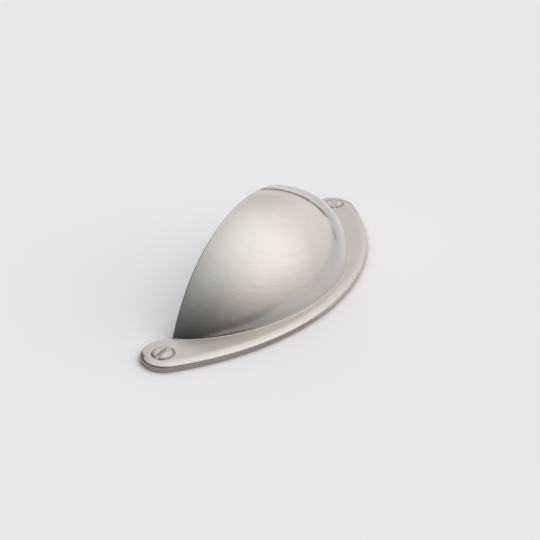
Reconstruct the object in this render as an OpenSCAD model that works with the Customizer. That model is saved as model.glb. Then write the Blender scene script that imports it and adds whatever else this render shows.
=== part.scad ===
// Hooded cup pull for a drawer front, cast in one piece.
// Back face on z = 0, hood outward along +z, mouth of the hood toward -y.
// Origin at the middle of the line between the two fixing holes.

/* [Plate] */
// Distance between the centres of the two round ears
ear_spacing = 90.2; // [86:0.2:98]
// Radius of each ear, half the width of the plate strip
ear_r = 6.1; // [5.2:0.05:6.6]
// Thickness of the plate on its flat top
plate_t = 2; // [1.8:0.1:3]
// Width of the crowned band along each edge of the plate
crown_w = 2.4; // [1:0.1:3]
// Slope of the crowned band at its outer end, in degrees
crown_slope = 20; // [10:1:34]
// Radius of the rolled edge between the crowned band and the side wall
edge_roll = 0.6; // [0.3:0.05:0.9]

/* [Hood] */
// Distance from each ear centre to the tip of the hood
tip_gap = 4.2; // [3.6:0.1:6]
// Height of the hood above its turning axis
hood_r = 23.3; // [20:0.2:25]
// Depth of the turning axis behind the back face
axis_drop = 0.6; // [0.1:0.1:1]
// Set-back of the turning axis from the ear line
hood_back = 1.3; // [0.4:0.1:2]
// Forward lean of the mouth past upright, in degrees
mouth_lean = 5.4; // [0:0.2:10]
// Radius of the rounded edges of the mouth
rim_r = 0.6; // [0.3:0.05:0.8]
// Thickness of the hood wall
wall = 2.2; // [1.8:0.1:2.6]

/* [Fixings] */
// Distance between the two tapped holes
hole_spacing = 64; // [60:0.5:66]
// Distance from the ear line to the line of the tapped holes
hole_y = 2; // [1.5:0.1:2.5]
// Drilled radius of the tapped holes
hole_r = 1.65; // [1.25:0.05:1.7]
// Metal left between the end of each hole and the outside of the hood
hole_cover = 2.2; // [1.6:0.1:3]
// Radius of the round inner end of each boss
boss_r = 4.6; // [4:0.1:5.2]
// Depth of the countersunk lead-in of each hole
lead_in = 0.4; // [0.2:0.1:0.6]

/* [Dummy heads] */
// Distance of each head outward from the centre of its ear
head_out = 1; // [0:0.1:1.8]
// Radius of each dummy screw head
head_r = 2.8; // [2.4:0.1:3.2]
// Rise of the head above the flat top of the plate
head_h = 0.55; // [0.4:0.05:0.9]
// Height of the upright side of the head above the flat top of the plate
head_side = 0.15; // [0.1:0.05:0.3]
// Width of the driver slot
slot_w = 0.9; // [0.6:0.1:1.2]
// Depth of the driver slot below the top of the head
slot_d = 0.5; // [0.3:0.05:0.8]
// Turn of the slot on the +x ear, in degrees
slot_turn_right = 177; // [0:1:179]
// Turn of the slot on the -x ear, in degrees
slot_turn_left = 26; // [0:1:179]

/* [Hidden] */
$fn = 72;
// Centre line of the plate strip: a quarter circle from ear to ear
ear_x = ear_spacing / 2;
strip_turn = 90;
strip_mid_r = ear_x * sqrt(2);
// Crowned band: one arc, level where it meets the flat top, then the rolled edge
crown_arc_r = (crown_w - edge_roll * (1 - sin(crown_slope))) / sin(crown_slope);
roll_z = plate_t - crown_arc_r * (1 - cos(crown_slope)) - edge_roll * cos(crown_slope);
edge_steps = 6;
// Profile of the hood: one arc turned about an axis along the pull
hood_len = ear_spacing - 2 * tip_gap;
hood_arc_r = (hood_len * hood_len / 4 + hood_r * hood_r) / (2 * hood_r);
hood_arc_y = hood_r - hood_arc_r;
mouth_turn = 90 + mouth_lean;
// Sweep of the hood past its axis, and of the rim past its tips, both trimmed at the back
back_turn = 4;
rim_turn = acos(-hood_arc_y / hood_arc_r) + back_turn;
// Height of the hood over the far side of each hole, and the hole's depth from it
hole_far_x = hole_spacing / 2 + hole_r * cos(45);
hole_far_y = hole_y + hood_back + hole_r * sin(45);
hood_over_hole = sqrt(pow(sqrt(hood_arc_r * hood_arc_r - hole_far_x * hole_far_x) + hood_arc_y, 2)
    - hole_far_y * hole_far_y) - axis_drop;
hole_depth = hood_over_hole - hole_cover;
// Dome of the dummy head, and how far its foot goes into the ear
head_dome = head_h - head_side;
head_dome_r = (head_r * head_r + head_dome * head_dome) / (2 * head_dome);
head_sink = plate_t / 2;
// Overrun of cutters and of what the back face trims off
over = 1;

// Points of a rounded corner from one direction to another, in degrees from +x
function corner(x, y, r, from, to) = [
    for (i = [0 : edge_steps])
        let (t = from + (to - from) * i / edge_steps) [x + r * cos(t), y + r * sin(t)]
];

// Edge of the plate from the side wall up over the roll and the crowned band
function plate_edge(half) = concat(
    [[half, -over]],
    corner(half - edge_roll, roll_z, edge_roll, 0, 90 - crown_slope),
    [for (i = [1 : edge_steps])
        let (t = crown_slope * (1 - i / edge_steps))
            [half - crown_w + crown_arc_r * sin(t), plate_t - crown_arc_r * (1 - cos(t))]]
);

// The same edge on the other side, down to the back
function plate_edge_left(half) =
    let (right = plate_edge(half)) [for (i = [len(right) - 1 : -1 : 0]) [-right[i][0], right[i][1]]];

// Full section of the plate strip
module strip_section() {
    polygon(concat(plate_edge(ear_r), plate_edge_left(ear_r)));
}

// Half section of the plate strip, turned into the round ears
module ear_section() {
    polygon(concat([[0, -over]], plate_edge(ear_r), [[0, plate_t]]));
}

// Crescent strip with a round ear at each end
module plate() {
    translate([0, -ear_x, 0]) {
        rotate([0, 0, 45]) {
            rotate_extrude(angle = strip_turn) translate([strip_mid_r, 0]) strip_section();
            translate([strip_mid_r, 0, 0])
                rotate([0, 0, 180]) rotate_extrude(angle = 180) ear_section();
        }
        rotate([0, 0, 45 + strip_turn])
            translate([strip_mid_r, 0, 0])
                rotate_extrude(angle = 180) ear_section();
    }
}

// Places a shape by the mouth: local x up the mouth, y into the hood, z along the axis
module by_mouth() {
    translate([0, -hood_back, -axis_drop])
        rotate([mouth_lean, 0, 0])
            rotate([0, -90, 0])
                children();
}

// Solid turned from the hood arc, pared all over by the given thickness
module turned(pare, turn) {
    by_mouth()
        rotate_extrude(angle = turn)
            intersection() {
                translate([hood_arc_y, 0]) circle(r = hood_arc_r - pare, $fn = 160);
                translate([0, -hood_len]) square([hood_r + over, 2 * hood_len]);
            }
}

// Rounded rim of the mouth, standing on the end of the hood wall
module rim() {
    by_mouth()
        translate([hood_arc_y, 0, 0])
            rotate([90, 0, 0])
                rotate([0, 0, -rim_turn])
                    rotate_extrude(angle = 2 * rim_turn)
                        translate([hood_arc_r - wall, 0])
                            intersection() {
                                union() {
                                    translate([rim_r, 0]) circle(r = rim_r);
                                    translate([wall - rim_r, 0]) circle(r = rim_r);
                                    translate([rim_r, -rim_r]) square([wall - 2 * rim_r, 2 * rim_r]);
                                }
                                square([wall, wall]);
                            }
}

// Plan of a boss: round inner end, running solid to the end of the hood
module boss_plan() {
    translate([hole_spacing / 2, hole_y]) circle(r = boss_r);
    translate([hole_spacing / 2, -hood_r]) square([hood_len / 2, 2 * hood_r]);
}

// Finger space under the hood, with the two bosses left standing
module finger_space() {
    difference() {
        turned(wall, 360);
        for (side = [0, 1])
            mirror([side, 0, 0])
                translate([0, 0, -hood_r])
                    linear_extrude(height = 2 * hood_r + over) boss_plan();
    }
}

// Tapped hole with its lead-in, from the back face
module tapped_hole() {
    translate([0, 0, -over]) cylinder(r = hole_r, h = hole_depth + over);
    translate([0, 0, -over])
        cylinder(r1 = hole_r + lead_in + over, r2 = hole_r, h = lead_in + over);
}

// All that lies behind the back face
module behind_back() {
    translate([-ear_spacing, -ear_spacing, -hood_r])
        cube([2 * ear_spacing, 2 * ear_spacing, hood_r]);
}

// Low domed head with a driver slot
module dummy_head(turn) {
    difference() {
        translate([0, 0, plate_t - head_sink])
            rotate_extrude()
                intersection() {
                    translate([0, head_sink + head_h - head_dome_r]) circle(r = head_dome_r);
                    square([head_r, head_sink + head_h + over]);
                }
        rotate([0, 0, turn])
            translate([-head_r - over, -slot_w / 2, plate_t + head_h - slot_d])
                cube([2 * (head_r + over), slot_w, slot_d + over]);
    }
}

// The casting
module cup_pull() {
    color([0.74, 0.72, 0.69])
        translate([0, -hole_y, 0])
            union() {
                difference() {
                    union() {
                        difference() {
                            union() {
                                plate();
                                turned(0, mouth_turn + back_turn);
                            }
                            finger_space();
                        }
                        rim();
                    }
                    behind_back();
                    for (side = [-1, 1])
                        translate([side * hole_spacing / 2, hole_y, 0]) tapped_hole();
                }
                translate([ear_x + head_out, 0, 0]) dummy_head(slot_turn_right);
                translate([-ear_x - head_out, 0, 0]) dummy_head(slot_turn_left);
            }
}

cup_pull();
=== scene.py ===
import math

import bmesh
import bpy
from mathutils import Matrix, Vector

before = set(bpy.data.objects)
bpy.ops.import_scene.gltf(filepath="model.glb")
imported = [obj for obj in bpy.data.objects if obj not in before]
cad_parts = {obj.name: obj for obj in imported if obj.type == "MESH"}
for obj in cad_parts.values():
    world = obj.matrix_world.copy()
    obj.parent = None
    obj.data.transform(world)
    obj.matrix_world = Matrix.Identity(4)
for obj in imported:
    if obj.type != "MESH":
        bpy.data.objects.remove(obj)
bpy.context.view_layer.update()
scene = bpy.context.scene
MM = 0.001

# Places on the pull that the finish follows
EAR_X = 45.1 * MM
EAR_Y = -2.0 * MM
HEAD_X = 46.1 * MM
HEAD_R = 2.8 * MM
PLATE_TOP = 2.0 * MM
# Driver slots: half width, and the way across them on the far and the near head
SLOT_HALF = 0.45 * MM
SLOT_TURNS = (math.radians(26), math.radians(3))
SLOT_X = [math.sin(turn) for turn in SLOT_TURNS]
SLOT_Y = [math.cos(turn) for turn in SLOT_TURNS]

# Camera at the photograph's angle
CAMERA_PLACE = Vector((249.37, 138.65, 162.37)) * MM
CAMERA_AIM = Vector((-2.356, 0.371, 1.608)) * MM
CAMERA_LENS = 82.04
CAMERA_SENSOR = 36.0
CAMERA_NEAREST = 0.01

# Brushing: noise steps per metre along the lines and across them
STEPS_ALONG = 45.0
HOOD_STEPS_UP = 2600.0
HOOD_STEPS_BACK = 1100.0
PLATE_STEPS = 3600.0
# A layer of the noise of its own keeps the plate's lines apart from the hood's
PLATE_LAYER = 5.0
BRUSH_DEPTH = 0.01 * MM
BRUSH_STRENGTH = 0.18

# Metal: two tones of the plating, the brushed streaks, and a near-black painted shade for the
# recesses
NICKEL = (0.514, 0.482, 0.442, 1)
NICKEL_PALE = (0.531, 0.501, 0.462, 1)
NICKEL_STREAK = (0.42, 0.39, 0.352, 1)
NICKEL_PAINTED_SHADE = (0.06, 0.055, 0.05, 1)
CREASE_SHADE_COVER = 0.55
HEAD_FOOT_SHADE_COVER = 0.9
SLOT_EDGE_SHADE_COVER = 0.80
HOOD_EXTRA_ROUGHNESS = 0.06

# Floor
FLOOR_R = 5.0
FLOOR_PALE = (0.955, 0.95, 0.968, 1)
FLOOR_PAINTED_SHADOW = (0.60, 0.48, 0.42, 1)
PAINTED_SHADOW_REACH = 7 * MM

# Cards, in millimetres and degrees
CARD_BLACK = (0.01, 0.01, 0.01, 1)
CARD_LIFT = 0.4
# Line along the foot of the wall behind the far end: an arch of this reach and width
LINE_REACH = 400.0
LINE_WIDTH = 26.0
LINE_TURNS = range(176, 213, 3)
LINE_TOP_TURN = 197.5
LINE_TOP = 66.0
LINE_FALL = 0.12
LINE_LOWEST = 1.0
# Its end on the floor, running out to a point: x, y and half width
FLOOR_LINE = ((-400, 30, 9.0), (-330, 58, 8.5), (-176, 49, 5.0), (-96, 36, 1.2))
FLOOR_LINE_LIFT = 0.8
# Flag on the mouth side
FLAG_X = (-40, 130)
FLAG_Y = -130
FLAG_Z = (2, 110)
FLAG_COVER = 0.8
# Low card before the near end: a grey sheet on the floor and a black edge
LOW_TURNS = range(-44, 89, 4)
LOW_START = 15
LOW_END = 58
LOW_TOP = 14
LOW_SHEET_COVER = 0.38
LOW_EDGE_COVER = 0.75
# Grey sheet on the floor behind the far end
FAR_TURNS = range(138, 224, 4)
FAR_START = 50
FAR_FULL = 100
FAR_END = 420
FAR_COVER = 0.16

# Soft studio light: a lamp overhead, one on the closed side and a pale wall behind the far end
# Each light: turn and height in degrees, narrowness, colour
STUDIO_LIGHTS = (
    (198, 80, 7.2, (0.68, 0.73, 0.76)),
    (102, 39, 8.6, (0.77, 0.755, 0.705)),
    (179, 6, 1.5, (1.02, 0.965, 0.95)),
)
# Dim patch between the lamps on the mouth side
SHADE_TURN = 201
SHADE_HEIGHT = 25
SHADE_NARROWNESS = 60
SHADE_DEPTH = 0.25
SHADE_COLOUR = (0.33, 0.34, 0.36, 1)


class Nodes:
    """Short calls for building one node tree."""

    def __init__(self, tree):
        self.tree = tree

    def add(self, kind, **settings):
        node = self.tree.nodes.new(kind)
        for key, value in settings.items():
            setattr(node, key, value)
        return node

    def feed(self, socket, value):
        if isinstance(value, bpy.types.NodeSocket):
            self.tree.links.new(value, socket)
        else:
            socket.default_value = value

    def math(self, operation, *values, clamp=False):
        node = self.add("ShaderNodeMath", operation=operation, use_clamp=clamp)
        for socket, value in zip(node.inputs, values):
            self.feed(socket, value)
        return node.outputs[0]

    def product(self, first, *others):
        for other in others:
            first = self.math("MULTIPLY", first, other)
        return first

    def length(self, x, y):
        return self.math("SQRT", self.math("ADD", self.product(x, x), self.product(y, y)))

    def off(self, value, target):
        return self.math("ABSOLUTE", self.math("SUBTRACT", value, target))

    def join(self, x, y, z=0.0):
        node = self.add("ShaderNodeCombineXYZ")
        for socket, value in zip(node.inputs, (x, y, z)):
            self.feed(socket, value)
        return node.outputs[0]

    def place(self):
        """Object coordinates, whole and split."""
        whole = self.add("ShaderNodeTexCoord").outputs["Object"]
        split = self.add("ShaderNodeSeparateXYZ")
        self.feed(split.inputs[0], whole)
        return whole, *split.outputs

    def ramp(self, value, low, high, start=0.0, end=1.0):
        node = self.add("ShaderNodeMapRange", interpolation_type="SMOOTHSTEP")
        for socket, number in zip(node.inputs, (value, low, high, start, end)):
            self.feed(socket, number)
        return node.outputs[0]

    def noise(self, vector, scale, detail=2.0, roughness=0.5):
        node = self.add("ShaderNodeTexNoise")
        self.feed(node.inputs["Vector"], vector)
        self.feed(node.inputs["Scale"], scale)
        self.feed(node.inputs["Detail"], detail)
        self.feed(node.inputs["Roughness"], roughness)
        return node.outputs["Fac"]

    def mix_colour(self, factor, first, second, blend="MIX"):
        node = self.add("ShaderNodeMix", data_type="RGBA", blend_type=blend)
        self.feed(node.inputs[0], factor)
        self.feed(node.inputs[6], first)
        self.feed(node.inputs[7], second)
        return node.outputs[2]

    def mix_vector(self, factor, first, second):
        node = self.add("ShaderNodeMix", data_type="VECTOR")
        self.feed(node.inputs[0], factor)
        self.feed(node.inputs[4], first)
        self.feed(node.inputs[5], second)
        return node.outputs[1]

    def lobe(self, toward, direction, narrowness):
        facing = self.add("ShaderNodeVectorMath", operation="DOT_PRODUCT")
        self.feed(facing.inputs[0], toward)
        facing.inputs[1].default_value = direction
        half = self.math("MULTIPLY_ADD", facing.outputs["Value"], 0.5, 0.5, clamp=True)
        return self.math("POWER", half, narrowness)


def new_finish(name):
    finish = bpy.data.materials.new(name)
    finish.use_nodes = True
    return finish, finish.node_tree.nodes["Principled BSDF"], Nodes(finish.node_tree)


def stage_object(name, bm, finish):
    mesh = bpy.data.meshes.new(name)
    bm.to_mesh(mesh)
    bm.free()
    obj = bpy.data.objects.new(name, mesh)
    scene.collection.objects.link(obj)
    mesh.materials.append(finish)
    return obj


def add_camera():
    data = bpy.data.cameras.new("camera")
    data.sensor_width = CAMERA_SENSOR
    data.lens = CAMERA_LENS
    data.clip_start = CAMERA_NEAREST
    camera = bpy.data.objects.new("camera", data)
    scene.collection.objects.link(camera)
    camera.location = CAMERA_PLACE
    camera.rotation_euler = (CAMERA_PLACE - CAMERA_AIM).to_track_quat("Z", "Y").to_euler()
    scene.camera = camera


# Fine lines: beside the base line on the hood, along the crescent on the plate
def brushing(n, x, y, z, on_hood):
    along = n.product(x, STEPS_ALONG)
    up = n.product(z, HOOD_STEPS_UP)
    hood_lines = n.join(along, n.math("ADD", up, n.product(y, HOOD_STEPS_BACK)))
    reach = n.length(x, n.math("SUBTRACT", y, EAR_Y - EAR_X))
    plate_lines = n.join(along, n.product(reach, PLATE_STEPS), PLATE_LAYER)
    return n.noise(n.mix_vector(on_hood, plate_lines, hood_lines), 1.0, 3.0, 0.6)


# How far the painted shade covers: crease round each head, foot of the head, edges of its slot
def painted_recess_shade(n, x, y, z):
    head_x = n.math("SUBTRACT", n.math("ABSOLUTE", x), HEAD_X)
    head_y = n.math("SUBTRACT", y, EAR_Y)
    from_head = n.length(head_x, head_y)
    crease = n.off(from_head, HEAD_R + 0.03 * MM)
    crease = n.ramp(crease, 0.08 * MM, 0.26 * MM, CREASE_SHADE_COVER, 0.0)

    foot = n.product(
        n.ramp(z, PLATE_TOP + 0.15 * MM, PLATE_TOP + 0.42 * MM, HEAD_FOOT_SHADE_COVER, 0.0),
        n.ramp(z, PLATE_TOP + 0.055 * MM, PLATE_TOP + 0.09 * MM),
        n.ramp(from_head, HEAD_R + 0.02 * MM, HEAD_R + 0.10 * MM, 1.0, 0.0),
    )

    on_near = n.math("GREATER_THAN", x, 0.0)
    across_slot = n.math(
        "ADD",
        n.product(head_x, n.ramp(on_near, 0.0, 1.0, *SLOT_X)),
        n.product(head_y, n.ramp(on_near, 0.0, 1.0, *SLOT_Y)),
    )
    slot_edge = n.off(n.math("ABSOLUTE", across_slot), SLOT_HALF)
    slot_edge = n.product(
        n.ramp(slot_edge, 0.08 * MM, 0.24 * MM, SLOT_EDGE_SHADE_COVER, 0.0),
        n.math("LESS_THAN", from_head, HEAD_R),
        n.math("GREATER_THAN", z, PLATE_TOP + 0.08 * MM),
    )
    return n.math("MAXIMUM", crease, n.math("MAXIMUM", foot, slot_edge))


# Satin nickel plate, lightly brushed under clear lacquer
def satin_nickel():
    finish, shader, n = new_finish("satin_nickel")
    place, x, y, z = n.place()
    on_hood = n.ramp(z, PLATE_TOP + 0.6 * MM, PLATE_TOP + 1.0 * MM)
    fine = brushing(n, x, y, z, on_hood)
    broad = n.noise(place, 90.0)

    # Streaks show most low on the hood
    clean = n.mix_colour(n.ramp(broad, 0.3, 0.7), NICKEL, NICKEL_PALE)
    streaks = n.product(n.ramp(fine, 0.3, 0.7), n.ramp(z, 6 * MM, 16 * MM, 0.42, 0.10))
    brushed = n.mix_colour(streaks, clean, NICKEL_STREAK)
    # Painted shade: the near-black tone darkens the crease round each head, the head's foot and
    # its slot edges
    colour = n.mix_colour(painted_recess_shade(n, x, y, z), brushed, NICKEL_PAINTED_SHADE)
    n.feed(shader.inputs["Base Color"], colour)
    roughness = n.ramp(fine, 0.25, 0.75, 0.12, 0.20)
    extra = n.product(on_hood, HOOD_EXTRA_ROUGHNESS)
    n.feed(shader.inputs["Roughness"], n.math("ADD", roughness, extra))
    shader.inputs["Metallic"].default_value = 1.0
    shader.inputs["Anisotropic"].default_value = 0.75
    shader.inputs["Coat Weight"].default_value = 1.0
    shader.inputs["Coat Roughness"].default_value = 0.04
    shader.inputs["Coat IOR"].default_value = 2.0

    # Highlights stretch across the length of the pull
    across = n.add("ShaderNodeVectorMath", operation="CROSS_PRODUCT")
    across.inputs[0].default_value = (1, 0, 0)
    n.feed(across.inputs[1], n.add("ShaderNodeNewGeometry").outputs["Normal"])
    n.feed(shader.inputs["Tangent"], across.outputs[0])

    # Edges are worn soft, less on the upper hood than on the plate, the heads and the hood's foot
    wear = n.ramp(z, PLATE_TOP + 0.5 * MM, PLATE_TOP + 0.8 * MM, 0.30 * MM, 0.15 * MM)
    soft_edges = n.add("ShaderNodeBevel", samples=8)
    n.feed(soft_edges.inputs["Radius"], wear)
    n.feed(shader.inputs["Coat Normal"], soft_edges.outputs[0])
    brushed_relief = n.add("ShaderNodeBump")
    brushed_relief.inputs["Strength"].default_value = BRUSH_STRENGTH
    brushed_relief.inputs["Distance"].default_value = BRUSH_DEPTH
    n.feed(brushed_relief.inputs["Height"], fine)
    n.feed(brushed_relief.inputs["Normal"], soft_edges.outputs[0])
    n.feed(shader.inputs["Normal"], brushed_relief.outputs[0])
    return finish


# Plain pale floor, with a painted contact shadow that turns it warm and darker close to the pull
def pale_floor():
    finish, shader, n = new_finish("pale_floor")
    contact = n.add("ShaderNodeAmbientOcclusion", samples=8)
    contact.inputs["Distance"].default_value = PAINTED_SHADOW_REACH
    clear = n.ramp(contact.outputs["AO"], 0.35, 0.95)
    # Painted shadow: the floor colour goes warm and darker where the pull occludes it
    n.feed(shader.inputs["Base Color"], n.mix_colour(clear, FLOOR_PAINTED_SHADOW, FLOOR_PALE))
    shader.inputs["Roughness"].default_value = 0.9
    shader.inputs["Specular IOR Level"].default_value = 0.0
    return finish


def add_floor():
    bm = bmesh.new()
    bmesh.ops.create_circle(bm, cap_ends=True, radius=FLOOR_R, segments=96)
    stage_object("floor", bm, pale_floor())


def polar(turn, reach, height):
    turn = math.radians(turn)
    return Vector((reach * math.cos(turn), reach * math.sin(turn), height))


# Dark card of the studio, seen only in the metal: a strip between each row of points and the next
def card(name, rows, finish):
    bm = bmesh.new()
    for pair in zip(rows, rows[1:]):
        lines = [[bm.verts.new(point * MM) for point in row] for row in pair]
        edges = [bm.edges.new(ends) for line in lines for ends in zip(line, line[1:])]
        bmesh.ops.bridge_loops(bm, edges=edges)
    obj = stage_object(name, bm, finish)
    obj.visible_camera = False
    obj.visible_diffuse = False
    obj.visible_shadow = False


def card_black(name, cover=1.0):
    """Flat black; cover is a number, or a function of nodes, turn, reach and height."""
    finish, shader, n = new_finish(name)
    shader.inputs["Base Color"].default_value = CARD_BLACK
    shader.inputs["Specular IOR Level"].default_value = 0.0
    if callable(cover):
        _, x, y, z = n.place()
        cover = cover(n, n.math("ARCTAN2", y, x), n.length(x, y), z)
    n.feed(shader.inputs["Alpha"], cover)
    return finish


# The sheet fades in from the mouth side, the edge along the near end, and both out beside the hood
def low_cover(n, turn, reach, height):
    flat = n.ramp(height, 0.5 * MM, 2 * MM, LOW_SHEET_COVER, 0.0)
    sheet = n.product(n.ramp(turn, -0.7, -0.2), flat)
    upright = n.ramp(height, 0.5 * MM, 2 * MM)
    to_top = n.ramp(height, 3 * MM, LOW_TOP * MM, 1.0, 0.0)
    edge = n.product(upright, to_top, n.ramp(turn, 0.0, 0.45, 0.0, LOW_EDGE_COVER))
    return n.product(n.math("ADD", sheet, edge), n.ramp(turn, 0.8, 1.5, 1.0, 0.0))


# The sheet fades out to both sides and toward the pull
def far_cover(n, turn, reach, height):
    from_back = n.math("SUBTRACT", math.pi, n.math("ABSOLUTE", turn))
    outward = n.ramp(reach, FAR_START * MM, FAR_FULL * MM, 0.0, FAR_COVER)
    return n.product(n.ramp(from_back, 0.2, 0.7, 1.0, 0.0), outward)


def wall_point(turn, side):
    height = LINE_TOP - LINE_FALL * (turn - LINE_TOP_TURN) ** 2 + side * LINE_WIDTH
    return polar(turn, LINE_REACH, max(height, LINE_LOWEST))


def add_cards():
    line_black = card_black("line_black")
    wall_rows = [[wall_point(turn, side) for turn in LINE_TURNS] for side in (-0.5, 0.5)]
    card("wall_line", wall_rows, line_black)
    floor_rows = [[Vector((x, y + side * half, FLOOR_LINE_LIFT)) for x, y, half in FLOOR_LINE]
                  for side in (-1, 1)]
    card("floor_line", floor_rows, line_black)

    flag_rows = [[Vector((x, FLAG_Y, z)) for x in FLAG_X] for z in FLAG_Z]
    card("mouth_flag", flag_rows, card_black("flag_black", FLAG_COVER))

    low_section = ((LOW_START, CARD_LIFT), (LOW_END, CARD_LIFT), (LOW_END, LOW_TOP))
    low_rows = [[polar(turn, reach, height) for turn in LOW_TURNS]
                for reach, height in low_section]
    card("low_card", low_rows, card_black("low_black", low_cover))

    far_rows = [[polar(turn, reach, CARD_LIFT) for turn in FAR_TURNS]
                for reach in (FAR_START, FAR_END)]
    card("far_sheet", far_rows, card_black("far_black", far_cover))


def sky_point(turn, height):
    height = math.radians(height)
    return polar(turn, math.cos(height), math.sin(height))


def add_studio_light():
    world = bpy.data.worlds.new("studio")
    scene.world = world
    world.use_nodes = True
    n = Nodes(world.node_tree)
    toward = n.add("ShaderNodeTexCoord").outputs["Generated"]
    light = (0.0, 0.0, 0.0, 1)
    for turn, height, narrowness, colour in STUDIO_LIGHTS:
        lobe = n.lobe(toward, sky_point(turn, height), narrowness)
        light = n.mix_colour(lobe, light, (*colour, 1), blend="ADD")
    shade = n.lobe(toward, sky_point(SHADE_TURN, SHADE_HEIGHT), SHADE_NARROWNESS)
    light = n.mix_colour(n.product(shade, SHADE_DEPTH), light, SHADE_COLOUR)
    n.feed(world.node_tree.nodes["Background"].inputs["Color"], light)


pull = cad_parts["cup_pull"]
pull.data.materials.clear()
pull.data.materials.append(satin_nickel())
add_camera()
add_floor()
add_cards()
add_studio_light()
scene.view_settings.view_transform = "Standard"

bpy.context.view_layer.update()
